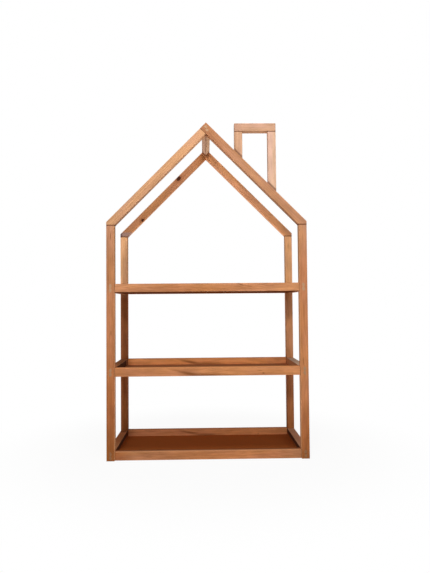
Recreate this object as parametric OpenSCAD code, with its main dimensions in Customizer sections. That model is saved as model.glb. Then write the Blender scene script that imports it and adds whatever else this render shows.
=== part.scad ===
// House shaped bookcase: two gabled frames of square timber with three tray shelves between them, and a
// chimney frame on the front gable. The origin is on the floor below the middle of the case. +Z is up, -Y is
// the open front and +X is the right side.

/* [Case] */
// Width of the house over its posts
house_w = 600; // [460:10:800]
// Depth of the house over its posts
house_d = 300; // [180:10:400]
// Side of the square timber of the posts, rafters and chimney, and thickness of the rails
stock = 24; // [22:1:32]
// Radius of the eased edges of every stick
ease_r = 1.2; // [0.5:0.1:2.5]

/* [Shelves] */
// How far the posts' feet stand below the bottom rails
foot_h = 2; // [1:1:40]
// Height of the shelf rails
rail_h = 25; // [23:1:50]
// Clear height between the bottom rails and the middle rails
lower_bay_h = 220; // [120:5:350]
// Clear height between the middle rails and the top rails
upper_bay_h = 225; // [120:5:350]
// Thickness of the shelf panels
panel_t = 5; // [3:0.5:8]
// Width of the rabbet that a panel sits in, under the inner edge of its rails
rabbet_w = 6; // [4:0.5:9]
// Gap between a panel's edge and the wall of its rabbet
panel_gap = 0.4; // [0.2:0.1:1]

/* [Roof] */
// Height of the eaves over the top rails
wall_h = 185; // [80:5:300]
// Slope of the roof in degrees
roof_pitch = 45; // [35:1:50]
// Side of the square ridge beam
ridge_side = 19; // [16:1:24]

/* [Chimney] */
// Distance from the ridge to the chimney's left face
chimney_x = 85; // [70:5:120]
// Width of the chimney
chimney_w = 125; // [90:5:160]
// How far the chimney's top stays below the point of the gable
chimney_drop = 3; // [0:1:20]

/* [Fixings] */
// Diameter of a screw's shank
screw_d = 4; // [3:0.5:5]
// Diameter of a screw's head, and of the plug over it
head_d = 8; // [7:0.5:9]
// Length of a screw
screw_len = 45; // [40:1:60]
// Depth of a plug in a flat face
plug_t = 5; // [3:0.5:7]
// Distance between the two screws at the end of a side rail
screw_gap = 12; // [11:0.5:14]
// Distance from a post's outer face to the screw in the rafter's foot
eave_screw_in = 14; // [11:0.5:15]
// Distance from a rafter's underside to the screw in its upper end
apex_screw_in = 7; // [6:0.5:8]
// How far the chimney's cap screws and foot screws stand apart, front to back
chimney_screw_gap = 8; // [6:0.5:10]
// Diameter of a panel pin
pin_d = 1.5; // [1:0.1:2]
// Length of a panel pin
pin_len = 16; // [12:1:20]
// Distance from the end of a rail to its first panel pin
pin_end = 30; // [20:5:60]
// Number of pins along the front and the back of a panel
pins_long = 5; // [2:1:9]
// Number of pins along each side of a panel
pins_short = 3; // [2:1:5]

/* [Hidden] */
$fn = 48;

// Heights
bottom_z = foot_h;
middle_z = bottom_z + rail_h + lower_bay_h;
top_z = middle_z + rail_h + upper_bay_h;
shelf_zs = [bottom_z, middle_z, top_z];
eave_z = top_z + rail_h + wall_h;
ridge_z = eave_z + house_w / 2 * tan(roof_pitch);

// Depth of a rafter measured straight down, and the height at which its underside meets a post's inner face
rafter_drop = stock / cos(roof_pitch);
post_top = eave_z + stock * tan(roof_pitch) - rafter_drop;

// Spans between the posts
inner_w = house_w - 2 * stock;
inner_d = house_d - 2 * stock;

// The ridge beam hangs on its corner, under both slopes
ridge_half = ridge_side / sqrt(2);
ridge_mid = ridge_z - ridge_half - max(0, ridge_half * (tan(roof_pitch) - 1));

// Chimney
chimney_top = ridge_z - chimney_drop;
cap_z = chimney_top - stock;
leg_xs = [chimney_x, chimney_x + chimney_w - stock];

// Screws: the countersunk part of the head, the point, and the cross cut into the head
head_h = (head_d - screw_d) / 2;
point_h = screw_d;
point_d = 0.5;
cross_w = 1;
cross_l = head_d * 0.55;
cross_t = head_h * 0.8;
pin_head_d = pin_d + 1;
pin_head_t = 0.6;

// Where a screw stands in the post or rafter that it goes through
mid = stock / 2;
front_y = -house_d / 2;
post_x = house_w / 2 - mid;
post_y = house_d / 2 - mid;
rail_mid = rail_h / 2;
// Height of a rafter screw's head over the seat of the rafter, and of a foot screw's under the chimney leg
eave_seat = 10;
foot_seat = 20;

// ---- Timber sections and sticks ----

// A w by h rectangle with eased corners
module eased(w, h) {
    translate([ease_r, 0]) square([w - 2 * ease_r, h]);
    translate([0, ease_r]) square([w, h - 2 * ease_r]);
    for (x = [ease_r, w - ease_r], y = [ease_r, h - ease_r]) translate([x, y]) circle(r = ease_r);
}

// A block of x by y by z with all its edges eased, from the origin along +X, +Y and +Z
module stick(x, y, z) {
    intersection() {
        linear_extrude(z) eased(x, y);
        rotate([90, 0, 90]) linear_extrude(x) eased(y, z);
        translate([0, y, 0]) rotate([90, 0, 0]) linear_extrude(y) eased(x, z);
    }
}

// An outline in the plane of the front gable, reaching past both faces of its timber
module gable_slab(points) {
    translate([0, front_y + 2 * stock, 0]) rotate([90, 0, 0]) linear_extrude(3 * stock) polygon(points);
}

// A long stick under the right roof slope, flush with it, longer than the slope at both ends
module slope_stick() {
    over = 2 * stock;
    length = house_w / 2 / cos(roof_pitch) + 2 * over;
    translate([0, front_y, ridge_z]) rotate([0, roof_pitch, 0])
        translate([-over, 0, -stock]) rotate([90, 0, 90]) linear_extrude(length) eased(stock, stock);
}

// ---- Screws and plugs: +Z points out of the timber ----

// The outside of a screw whose head is at the origin
module screw_shape(length) {
    translate([0, 0, -head_h]) cylinder(d1 = screw_d, d2 = head_d, h = head_h);
    translate([0, 0, point_h - length]) cylinder(d = screw_d, h = length - point_h - head_h);
    translate([0, 0, -length]) cylinder(d1 = point_d, d2 = screw_d, h = point_h);
}

module screw(length) {
    difference() {
        screw_shape(length);
        for (turn = [0, 90])
            rotate(turn) translate([-cross_l / 2, -cross_w / 2, -cross_t]) cube([cross_l, cross_w, head_h]);
    }
}

// A screw and a plug for a hole whose mouth is at the origin, in a flat face
module flat_screw() translate([0, 0, -plug_t]) screw(screw_len);
module flat_plug() translate([0, 0, -plug_t]) cylinder(d = head_d, h = plug_t);

// The hole for those two, which runs past the face
module flat_hole() {
    translate([0, 0, -plug_t]) screw_shape(screw_len);
    translate([0, 0, -plug_t]) cylinder(d = head_d, h = 2 * plug_t);
}

// The hole for a screw whose head is at the origin, open as far as a sloping face
module deep_hole(length) {
    screw_shape(length);
    cylinder(d = head_d, h = 2 * stock);
}

// A panel pin, driven towards +Z, with its head flush with the panel's underside
module pin() {
    cylinder(d = pin_head_d, h = pin_head_t);
    cylinder(d = pin_d, h = pin_len);
}

// ---- Where the fixings go ----

// Two at each end of every side rail, through the front posts
module at_front_joints() {
    for (z = shelf_zs, side = [-1, 1], end = [-1, 1])
        translate([side * post_x, front_y, z + rail_mid + end * screw_gap / 2])
            rotate([90, 0, 0]) children();
}

module at_back_joints() mirror([0, 1, 0]) at_front_joints() children();

// One at each end of the front and back rails, through the posts' outer sides
module at_right_joints() {
    for (z = shelf_zs, side = [-1, 1])
        translate([house_w / 2, side * post_y, z + rail_mid]) rotate([0, 90, 0]) children();
}

module at_left_joints() mirror([1, 0, 0]) at_right_joints() children();

// One straight down through the foot of each rafter
module at_eave_joints() {
    for (x = [-1, 1], y = [-1, 1])
        translate([x * (house_w / 2 - eave_screw_in), y * post_y, post_top + eave_seat]) children();
}

// One through each right rafter, along the left rafter, starting plug_t below the right slope
module at_apex_joints() {
    below = stock - apex_screw_in;
    along = plug_t - below * cos(2 * roof_pitch) / sin(2 * roof_pitch);
    for (y = [-1, 1])
        translate([
            below * sin(roof_pitch) - along * cos(roof_pitch), y * post_y,
            ridge_z - below * cos(roof_pitch) - along * sin(roof_pitch)
        ]) rotate([0, 90 - roof_pitch, 0]) children();
}

// One from each gable into the ridge beam
module at_ridge_joints() {
    for (side = [0, 1])
        mirror([0, side, 0]) translate([0, front_y, ridge_mid]) rotate([90, 0, 0]) children();
}

module at_cap_joints() {
    for (x = leg_xs)
        translate([x + mid, front_y + mid - chimney_screw_gap / 2, chimney_top]) children();
}

// One straight up through the rafter into each chimney leg
module at_foot_joints() {
    for (x = leg_xs) {
        slope_z = ridge_z - (x + mid) * tan(roof_pitch);
        translate([x + mid, front_y + mid + chimney_screw_gap / 2, slope_z - foot_seat])
            rotate([180, 0, 0]) children();
    }
}

// Panel pins along the four rabbets of the shelf whose rails start at z
module at_panel_pins(z) {
    lip = rabbet_w / 2;
    long_step = (inner_w - 2 * pin_end) / (pins_long - 1);
    short_step = (inner_d - 2 * pin_end) / (pins_short - 1);
    for (i = [0 : pins_long - 1], side = [-1, 1])
        translate([-inner_w / 2 + pin_end + i * long_step, side * (inner_d / 2 + lip), z]) children();
    for (i = [0 : pins_short - 1], side = [-1, 1])
        translate([side * (inner_w / 2 + lip), -inner_d / 2 + pin_end + i * short_step, z]) children();
}

// ---- Posts ----

module post(x_side, y_side) {
    color("peru") difference() {
        translate([x_side * post_x - mid, y_side * post_y - mid, 0]) stick(stock, stock, post_top);
        if (y_side < 0) at_front_joints() flat_hole();
        if (y_side > 0) at_back_joints() flat_hole();
        if (x_side < 0) at_left_joints() flat_hole();
        if (x_side > 0) at_right_joints() flat_hole();
        at_eave_joints() deep_hole(screw_len);
    }
}

module front_left_post() post(-1, -1);
module front_right_post() post(1, -1);
module back_left_post() post(-1, 1);
module back_right_post() post(1, 1);

// ---- Rafters and ridge ----

// The right rafter ends on the left roof slope, on the post's top and flush with the post's outer face
module right_rafter_blank() {
    rise = house_w / 2 * tan(roof_pitch);
    intersection() {
        slope_stick();
        gable_slab([
            [-house_w / 2, eave_z], [house_w / 2, ridge_z + rise],
            [house_w / 2, post_top], [-house_w / 2, post_top]
        ]);
    }
}

// The left rafter ends against the underside of the right one
module left_rafter_blank() {
    rise = house_w / 2 * tan(roof_pitch);
    intersection() {
        mirror([1, 0, 0]) slope_stick();
        gable_slab([
            [-house_w / 2, ridge_z - rafter_drop + rise],
            [house_w / 2 - stock, post_top], [-house_w / 2, post_top]
        ]);
    }
}

// Cuts the holes of the eaves, the apex and the ridge out of a rafter
module drilled_rafter() {
    difference() {
        children();
        at_eave_joints() deep_hole(screw_len);
        at_apex_joints() deep_hole(screw_len);
        at_ridge_joints() flat_hole();
    }
}

module front_left_rafter() color("burlywood") drilled_rafter() left_rafter_blank();

module front_right_rafter() {
    color("peru") difference() {
        drilled_rafter() right_rafter_blank();
        at_foot_joints() deep_hole(screw_len);
    }
}

module back_left_rafter() {
    color("peru") drilled_rafter() translate([0, house_d - stock, 0]) left_rafter_blank();
}

module back_right_rafter() {
    color("peru") drilled_rafter() translate([0, house_d - stock, 0]) right_rafter_blank();
}

module ridge_beam() {
    color("rosybrown") difference() {
        translate([0, inner_d / 2, ridge_mid]) rotate([90, 45, 0]) linear_extrude(inner_d)
            translate([-ridge_side / 2, -ridge_side / 2]) eased(ridge_side, ridge_side);
        at_ridge_joints() flat_hole();
    }
}

// ---- Shelves ----

// The front or back rail of the shelf that starts at z, with its rabbet under the inner edge
module long_rail(side, z) {
    color("peru") difference() {
        translate([-inner_w / 2, side * post_y - mid, z]) stick(inner_w, stock, rail_h);
        rabbet_cut(z);
        at_left_joints() flat_hole();
        at_right_joints() flat_hole();
        at_panel_pins(z) pin();
    }
}

// The left or right rail
module short_rail(side, z) {
    color("peru") difference() {
        translate([side * post_x - mid, -inner_d / 2, z]) stick(stock, inner_d, rail_h);
        rabbet_cut(z);
        at_front_joints() flat_hole();
        at_back_joints() flat_hole();
        at_panel_pins(z) pin();
    }
}

// The room for a panel and its rabbets, open below
module rabbet_cut(z) {
    w = inner_w + 2 * rabbet_w;
    d = inner_d + 2 * rabbet_w;
    translate([-w / 2, -d / 2, z - panel_t]) cube([w, d, 2 * panel_t]);
}

// A panel lies in the four rabbets, with its corners notched around the posts
module panel(z) {
    tongue = rabbet_w - panel_gap;
    short_w = inner_w - 2 * panel_gap;
    short_d = inner_d - 2 * panel_gap;
    long_w = inner_w + 2 * tongue;
    long_d = inner_d + 2 * tongue;
    color("saddlebrown") difference() {
        translate([0, 0, z]) linear_extrude(panel_t) {
            square([long_w, short_d], center = true);
            square([short_w, long_d], center = true);
        }
        at_panel_pins(z) pin();
    }
}

module bottom_front_rail() long_rail(-1, bottom_z);
module bottom_back_rail() long_rail(1, bottom_z);
module bottom_left_rail() short_rail(-1, bottom_z);
module bottom_right_rail() short_rail(1, bottom_z);
module bottom_panel() panel(bottom_z);

module middle_front_rail() long_rail(-1, middle_z);
module middle_back_rail() long_rail(1, middle_z);
module middle_left_rail() short_rail(-1, middle_z);
module middle_right_rail() short_rail(1, middle_z);
module middle_panel() panel(middle_z);

module top_front_rail() long_rail(-1, top_z);
module top_back_rail() long_rail(1, top_z);
module top_left_rail() short_rail(-1, top_z);
module top_right_rail() short_rail(1, top_z);
module top_panel() panel(top_z);

// ---- Chimney ----

// A leg stands on the right slope and carries the cap
module chimney_leg(x) {
    foot = ridge_z - (x + stock) * tan(roof_pitch);
    color("tan") difference() {
        intersection() {
            translate([x, front_y, foot - stock]) stick(stock, stock, cap_z - foot + stock);
            gable_slab([[0, ridge_z], [house_w / 2, eave_z], [house_w / 2, ridge_z]]);
        }
        at_cap_joints() flat_hole();
        at_foot_joints() deep_hole(screw_len);
    }
}

module chimney_left_leg() chimney_leg(leg_xs[0]);
module chimney_right_leg() chimney_leg(leg_xs[1]);

module chimney_cap() {
    color("tan") difference() {
        translate([chimney_x, front_y, cap_z]) stick(chimney_w, stock, stock);
        at_cap_joints() flat_hole();
    }
}

// ---- Screws ----

module front_screws() color("silver") at_front_joints() flat_screw();
module back_screws() color("silver") at_back_joints() flat_screw();
module left_screws() color("silver") at_left_joints() flat_screw();
module right_screws() color("silver") at_right_joints() flat_screw();
module ridge_screws() color("silver") at_ridge_joints() flat_screw();
module eave_screws() color("silver") at_eave_joints() screw(screw_len);
module apex_screws() color("silver") at_apex_joints() screw(screw_len);
module chimney_cap_screws() color("silver") at_cap_joints() flat_screw();
module chimney_foot_screws() color("silver") at_foot_joints() screw(screw_len);

module bottom_panel_pins() color("silver") at_panel_pins(bottom_z) pin();
module middle_panel_pins() color("silver") at_panel_pins(middle_z) pin();
module top_panel_pins() color("silver") at_panel_pins(top_z) pin();

// ---- Plugs of filler ----

module front_plugs() color("darkkhaki") at_front_joints() flat_plug();
module back_plugs() color("darkkhaki") at_back_joints() flat_plug();
module left_plugs() color("darkkhaki") at_left_joints() flat_plug();
module right_plugs() color("darkkhaki") at_right_joints() flat_plug();
module ridge_plugs() color("darkkhaki") at_ridge_joints() flat_plug();
module chimney_cap_plugs() color("darkkhaki") at_cap_joints() flat_plug();

// Everything under the roof slopes and between the outer faces of the posts, over the full depth
module under_roof() {
    half_w = house_w / 2;
    translate([0, house_d / 2, 0]) rotate([90, 0, 0]) linear_extrude(house_d)
        polygon([[-half_w, 0], [-half_w, eave_z], [0, ridge_z], [half_w, eave_z], [half_w, 0]]);
}

// The same, under the rafters
module under_rafters() translate([0, 0, -rafter_drop]) under_roof();

module eave_plugs() {
    color("darkkhaki") intersection() {
        at_eave_joints() cylinder(d = head_d, h = 2 * stock);
        under_roof();
    }
}

module apex_plugs() {
    color("darkkhaki") intersection() {
        at_apex_joints() cylinder(d = head_d, h = 2 * stock);
        under_roof();
    }
}

module chimney_foot_plugs() {
    color("darkkhaki") difference() {
        at_foot_joints() cylinder(d = head_d, h = 2 * stock);
        under_rafters();
    }
}

front_left_post();
front_right_post();
back_left_post();
back_right_post();
front_left_rafter();
front_right_rafter();
back_left_rafter();
back_right_rafter();
ridge_beam();
bottom_front_rail();
bottom_back_rail();
bottom_left_rail();
bottom_right_rail();
bottom_panel();
middle_front_rail();
middle_back_rail();
middle_left_rail();
middle_right_rail();
middle_panel();
top_front_rail();
top_back_rail();
top_left_rail();
top_right_rail();
top_panel();
chimney_left_leg();
chimney_right_leg();
chimney_cap();
front_screws();
back_screws();
left_screws();
right_screws();
eave_screws();
apex_screws();
ridge_screws();
chimney_cap_screws();
chimney_foot_screws();
front_plugs();
back_plugs();
left_plugs();
right_plugs();
eave_plugs();
apex_plugs();
ridge_plugs();
chimney_cap_plugs();
chimney_foot_plugs();
bottom_panel_pins();
middle_panel_pins();
top_panel_pins();
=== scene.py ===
# %% [markdown]
# # A house shaped bookcase in Blender
#
# The case is an open frame of square timber: two gables, three tray shelves with thin dark boards in them,
# a ridge beam and a small chimney frame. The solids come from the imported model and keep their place. This
# lesson gives them their finish: planed wood with rings, streaks, knots and rubbed arrises, stained
# boards, and filler over the screws.

# %% Load the fixed frame
import math

import bpy
import numpy as np
from mathutils import Euler, Matrix, Vector


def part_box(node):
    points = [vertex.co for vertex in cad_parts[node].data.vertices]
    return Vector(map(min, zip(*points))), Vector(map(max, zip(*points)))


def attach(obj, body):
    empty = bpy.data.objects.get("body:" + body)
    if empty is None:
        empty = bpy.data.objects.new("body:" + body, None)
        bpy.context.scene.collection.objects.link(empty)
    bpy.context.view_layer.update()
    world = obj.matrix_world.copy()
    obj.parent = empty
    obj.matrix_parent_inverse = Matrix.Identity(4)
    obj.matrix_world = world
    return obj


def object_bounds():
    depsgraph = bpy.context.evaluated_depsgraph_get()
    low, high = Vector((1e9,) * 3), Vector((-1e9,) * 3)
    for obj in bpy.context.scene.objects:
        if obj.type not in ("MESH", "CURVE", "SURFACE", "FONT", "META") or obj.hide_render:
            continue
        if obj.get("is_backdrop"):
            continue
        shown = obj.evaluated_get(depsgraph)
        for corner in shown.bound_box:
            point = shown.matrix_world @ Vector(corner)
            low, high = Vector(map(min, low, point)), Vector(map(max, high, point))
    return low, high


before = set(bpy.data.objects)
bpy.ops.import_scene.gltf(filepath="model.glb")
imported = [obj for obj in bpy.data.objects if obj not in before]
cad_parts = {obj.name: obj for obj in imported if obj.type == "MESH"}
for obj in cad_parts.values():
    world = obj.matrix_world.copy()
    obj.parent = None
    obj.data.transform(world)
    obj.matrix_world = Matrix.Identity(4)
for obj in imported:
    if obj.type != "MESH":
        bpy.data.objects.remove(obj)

MM = 0.001
cad_low, cad_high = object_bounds()
print("the case measures", [round(v, 4) for v in cad_high - cad_low], "m")

# %% [markdown]
# ## The camera
#
# The photograph was taken from a little left of the middle, below half the case's height, looking slightly
# up. A camera could be set by eye. Here its place and its three small turns come from fitting a pinhole
# camera to the edges of the posts and rails, because on thin sticks a small error already shows. The focal
# length is in pixels of a picture that is 573 pixels high, and the lens is that length on a sensor 36 mm
# high.

# %% Camera
PICTURE_HIGH = 573
FOCAL_PIXELS = 539.3
SENSOR = 36.0
EYE = Vector((-9.6, -1756.5, 455.9)) * MM
YAW, PITCH, ROLL = -0.0204, 0.0348, 0.0083

camera_data = bpy.data.cameras.new("camera")
camera_data.sensor_width = SENSOR
camera_data.lens = FOCAL_PIXELS / PICTURE_HIGH * SENSOR
camera = bpy.data.objects.new("camera", camera_data)
bpy.context.scene.collection.objects.link(camera)
turn = Matrix.Rotation(YAW, 3, "Z") @ Matrix.Rotation(PITCH, 3, "X") @ Matrix.Rotation(ROLL, 3, "Y")
level = Matrix.Rotation(math.pi / 2, 3, "X")
camera.matrix_world = Matrix.LocRotScale(EYE, turn @ level, None)
bpy.context.scene.camera = camera
print("lens", round(camera_data.lens, 2), "mm")

# %% [markdown]
# ## Writing shader maths as Python
#
# A material is a graph of nodes, and wiring dozens of Math nodes by hand is hard to read. A `Wire` wraps
# one output socket and turns Python's operators into Math nodes, so a formula in the script looks like the
# formula on paper. Every other node comes from one method of `Finish`, which sets the node's settings
# first and its sockets after. The world is a graph of nodes too, so a `Finish` can be the world's as well.
# Colours are named by their values on a screen, and a last helper turns them into what a shader takes.


# %% A wire
class Wire:
    """One output socket of a finish. Arithmetic with numbers and other wires adds Math nodes."""

    def __init__(self, finish, socket):
        self.finish = finish
        self.socket = socket

    def maths(self, operation, *others):
        return self.finish.node("ShaderNodeMath", {"operation": operation}, [self, *others])

    def reflected(self, operation, other):
        """The same with the other value first, as in 1 - mask."""
        return self.finish.node("ShaderNodeMath", {"operation": operation}, [other, self])

    def __add__(self, other):
        return self.maths("ADD", other)

    def __sub__(self, other):
        return self.maths("SUBTRACT", other)

    def __rsub__(self, other):
        return self.reflected("SUBTRACT", other)

    def __mul__(self, other):
        return self.maths("MULTIPLY", other)

    def __truediv__(self, other):
        return self.maths("DIVIDE", other)

    def __rtruediv__(self, other):
        return self.reflected("DIVIDE", other)

    def __pow__(self, other):
        return self.maths("POWER", other)

    def __rpow__(self, other):
        return self.reflected("POWER", other)

    def __abs__(self):
        return self.maths("ABSOLUTE")

    __radd__ = __add__
    __rmul__ = __mul__

    def out(self, name):
        """Another output of the same node, by its name or its number."""
        return Wire(self.finish, self.socket.node.outputs[name])


print("a Wire turns operators into Math nodes")


# %% A finish
def fill_ramp(elements, stops):
    """Sets the stops of a new colour ramp, which has two to begin with."""
    for number, (at, colour) in enumerate(stops):
        stop = elements[number] if number < 2 else elements.new(at)
        stop.position, stop.color = at, colour


class Finish:
    """The nodes of their owner, a new material or a new world, under construction."""

    def __init__(self, owner):
        self.owner = owner
        self.owner.use_nodes = True
        self.tree = self.owner.node_tree
        self.tree.nodes.clear()

    def node(self, kind, settings=None, inputs=()):
        """Adds a node, sets its settings and then its sockets, by number or by name, and returns its first
        output. The setting stops fills a colour ramp with (place, colour) pairs."""
        made = self.tree.nodes.new(kind)
        for key, value in (settings or {}).items():
            if key == "stops":
                fill_ramp(made.color_ramp.elements, value)
            else:
                setattr(made, key, value)
        pairs = inputs.items() if isinstance(inputs, dict) else enumerate(inputs)
        for key, value in pairs:
            if isinstance(value, Wire):
                self.tree.links.new(value.socket, made.inputs[key])
            else:
                made.inputs[key].default_value = value
        return Wire(self, made.outputs[0])

    def mix(self, factor, a, b, blend="MIX"):
        """A colour between a and b. On the Mix node, sockets 6 and 7 are the two colours, and output 2 is
        the result."""
        settings = {"data_type": "RGBA", "blend_type": blend}
        return self.node("ShaderNodeMix", settings, {0: factor, 6: a, 7: b}).out(2)

    def shaded(self, colour, shade):
        """The colour times a grey of that brightness."""
        grey = self.node("ShaderNodeCombineColor", None, [shade, shade, shade])
        return self.mix(1.0, colour, grey, "MULTIPLY")

    def vector(self, operation, *inputs):
        return self.node("ShaderNodeVectorMath", {"operation": operation}, inputs)

    def noise(self, vector, scale, detail=2.0, roughness=0.5):
        """Smooth noise between 0 and 1. scale holds the number of features per metre along each axis."""
        stretched = self.vector("MULTIPLY", vector, scale)
        inputs = {"Vector": stretched, "Scale": 1.0, "Detail": detail, "Roughness": roughness}
        return self.node("ShaderNodeTexNoise", None, inputs)

    def step(self, value, start, end, low=0.0, high=1.0):
        """Runs smoothly from low to high while value runs from start to end."""
        settings = {"interpolation_type": "SMOOTHSTEP"}
        return self.node("ShaderNodeMapRange", settings, [value, start, end, low, high])

    def bump(self, height, strength, depth):
        """A normal bent as if the surface rose by depth, in metres, while height rises by 1."""
        inputs = {"Strength": strength, "Distance": depth, "Height": height}
        return self.node("ShaderNodeBump", None, inputs)

    def surface(self, shader, kind="ShaderNodeOutputMaterial"):
        """Ends the nodes with the output node, which has no output of its own, and returns their owner."""
        end = self.tree.nodes.new(kind)
        self.tree.links.new(shader.socket, end.inputs["Surface"])
        return self.owner

    def principled(self, sockets):
        return self.surface(self.node("ShaderNodeBsdfPrincipled", None, sockets))


print("a Finish gathers the nodes of one material")


# %% Colours as a screen names them
def srgb(red, green, blue):
    """A colour named by its 8-bit screen values, as the linear values that a shader takes: v / 12.92 for
    a v of 0.04045 or less, and otherwise (v + 0.055) / 1.055 to the power of 2.4."""
    share = np.array([red, green, blue]) / 255
    linear = np.where(share <= 0.04045, share / 12.92, ((share + 0.055) / 1.055) ** 2.4)
    return (*linear.tolist(), 1.0)


print("middle grey is", round(srgb(128, 128, 128)[0], 3), "in linear light")

# %% [markdown]
# ## Tones of the timber
#
# No two sticks of a real case are cut from the same plank. Here the left front rafter is honey, the
# chimney is rose and blush, most rails run from copper to amber, and the posts darken towards their feet,
# in part as painted shade.
# Each stick could have a colour painted along it. Here a tone is only the stick's mean colour, and the
# grain is a set of factors near 1 that multiply it, so that a stick can change its tone along its length
# and keep its grain.

# %% Tones and factors
TONES = {
    "sand": srgb(246, 188, 138),
    "straw": srgb(230, 172, 124),
    "apricot": srgb(244, 168, 108),
    "honey": srgb(218, 166, 126),
    "rose": srgb(218, 178, 153),
    "blush": srgb(207, 163, 135),
    "wheat": srgb(220, 157, 113),
    "amber": srgb(212, 145, 97),
    "copper": srgb(200, 134, 91),
    "tan": srgb(198, 144, 108),
    "russet": srgb(190, 132, 92),
    "chestnut": srgb(178, 110, 68),
    "umber": srgb(164, 102, 56),
    "board": srgb(163, 92, 46),
    "walnut": srgb(112, 58, 24),
    "cocoa": srgb(92, 46, 20),
    "deep_shade": srgb(40, 16, 6),
    "bone": srgb(240, 206, 176),
    "biscuit": srgb(200, 161, 134),
    "seam": srgb(104, 54, 26),
    "scrape": srgb(160, 136, 132),
    "bruise": srgb(104, 78, 84),
}
EARLY_WOOD = (1.14, 1.13, 1.12, 1.0)
LATE_WOOD = (0.78, 0.69, 0.60, 1.0)
YELLOWER = (1.01, 1.01, 0.94, 1.0)
PINKER = (0.99, 0.99, 1.05, 1.0)
print("tones:", ", ".join(TONES))

# %% [markdown]
# ## The stick's own frame
#
# A pattern that follows the grain needs to know where the grain runs. The sticks could be turned to lie
# along one axis, but they have to keep their place. A Mapping node of the texture kind undoes the stick's
# place and turn for the pattern alone: afterwards x runs along the grain, and y and z across it. The same
# noise would draw the same streaks on every stick, so each one also slides along the noise by its own
# shift.

# %% Laying the grain
SLIDE = (1.0, 0.37, -0.61)


def lay_grain(f, place, turned, shift):
    """Gives a finish its places: world in the case's frame, local in the stick's, and grain, which is
    local moved by shift times SLIDE."""
    f.world = f.node("ShaderNodeTexCoord").out("Object")
    f.local = f.node("ShaderNodeMapping", {"vector_type": "TEXTURE"},
                     {"Vector": f.world, "Location": place, "Rotation": turned})
    f.grain = f.vector("ADD", f.local, [shift * share for share in SLIDE])
    f.normal = f.node("ShaderNodeNewGeometry").out("Normal")
    parts = f.node("ShaderNodeSeparateXYZ", None, [f.local])
    f.x, f.y, f.z = parts, parts.out("Y"), parts.out("Z")


def tone_along(f, tones, length):
    """The mean colour: it runs through the tones as x goes from one end of the stick to the other. A
    tone's place is its share of the length."""
    stops = [(at, TONES[tone]) for at, tone in tones]
    if len(stops) == 1:
        return stops[0][1]
    return f.node("ShaderNodeValToRGB", {"stops": stops}, [f.x / length + 0.5])


print("lay_grain() turns x along the stick")

# %% [markdown]
# ## Wood as a solid
#
# A picture of wood wrapped round a stick breaks at every arris. Real wood doesn't, because each face cuts
# the same tree. So the wood is worked out as a solid: the tree's pith runs beside the stick, the distance
# from it divided by the width of a year gives the rings, and each ring darkens slowly from early wood to
# late wood and jumps back. Slow noise bends the rings, and a knot pushes them aside.

# %% Year rings
YEAR = 3.6 * MM
BEND = 16 * MM
BENDS_ACROSS = 14.0
KNOT_PUSH, KNOT_REACH = 1.3, 4.0
LATENESS = 3.0


def year_rings(f, pith, wave, knots):
    """fraction(distance((y, z), pith) / YEAR) cubed. Noise of wave bends a metre along the stick moves
    (y, z) by up to half of BEND either way, and a knot adds up to KNOT_PUSH times its radius to the
    distance. The bent place is kept, because the streaks follow the rings."""
    noise = f.noise(f.grain, (wave, BENDS_ACROSS, BENDS_ACROSS), 1.0).out("Color")
    bend = f.vector("MULTIPLY", f.vector("SUBTRACT", noise, (0.5, 0.5, 0.5)), (0.0, BEND, BEND))
    f.bent = f.vector("ADD", f.grain, bend)
    across = f.node("ShaderNodeSeparateXYZ", None, [f.vector("ADD", f.local, bend)])
    distance = ((across.out("Y") - pith[0]) ** 2 + (across.out("Z") - pith[1]) ** 2) ** 0.5
    for centre, radius, _ in knots:
        off = f.vector("DISTANCE", f.local, centre).out("Value")
        distance = distance + f.step(off, 0.0, radius * KNOT_REACH, radius * KNOT_PUSH, 0.0)
    return (distance / YEAR).maths("FRACT") ** LATENESS


print("year rings of", round(YEAR / MM, 1), "mm")

# %% [markdown]
# ## Streaks, fibres and pores
#
# Between the rings, planed wood has finer marks, all drawn out along the grain: broad streaks, short
# dashes, fibres and pores. Each could be a scratched image. Here each is noise whose features are many to
# the metre across the stick and few along it. The colour also drifts slowly between yellow and pink, the
# arrises are rubbed paler, and the end grain drinks more oil and is darker.

# %% Streaks and hue
STREAKS = (4.0, 130.0, 130.0)
DASHES = (26.0, 330.0, 330.0)
DRIFTS = (9.0, 48.0, 48.0)
STREAK_EDGE, DASH_EDGE, DRIFT_EDGE = (0.34, 0.68), (0.50, 0.72), (0.36, 0.64)
RING_SHARE, STREAK_SHARE, DASH_SHARE = 0.42, 0.34, 0.28


def grain_colour(f, tone, rings, bold):
    """tone x wood x hue. wood goes from early to late with the rings, the streaks and the short dashes.
    Rings and streaks show more where bold is more than 1. hue goes from yellow to pink."""
    streak = f.step(f.noise(f.bent, STREAKS, 2.0, 0.55), *STREAK_EDGE)
    dash = f.step(f.noise(f.bent, DASHES, 1.0), *DASH_EDGE)
    late = (rings * RING_SHARE + streak * STREAK_SHARE) * bold + dash * DASH_SHARE
    drift = f.step(f.noise(f.grain, DRIFTS, 1.0), *DRIFT_EDGE)
    toned = f.mix(1.0, tone, f.mix(late, EARLY_WOOD, LATE_WOOD), "MULTIPLY")
    return f.mix(1.0, toned, f.mix(drift, YELLOWER, PINKER), "MULTIPLY")


print("streaks", STREAKS[1], "to the metre across the grain")

# %% Fibres, pores and rubbed arrises
FIBRES = (30.0, 820.0, 820.0)
PORES = (110.0, 2400.0, 2400.0)
CLOUDS = (20.0, 60.0, 60.0)
PORE_EDGE, END_EDGE = (0.62, 0.74), (0.55, 0.95)
RUB_START, RUB_END = 2.2 * MM, 0.4 * MM
PLAIN_SHADE = 0.61
FIBRE_SHADE, CLOUD_SHADE = 0.30, 0.50
PORE_SHADE, RUB_SHADE = 0.13, 0.08
END_GRAIN = 0.74


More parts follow.
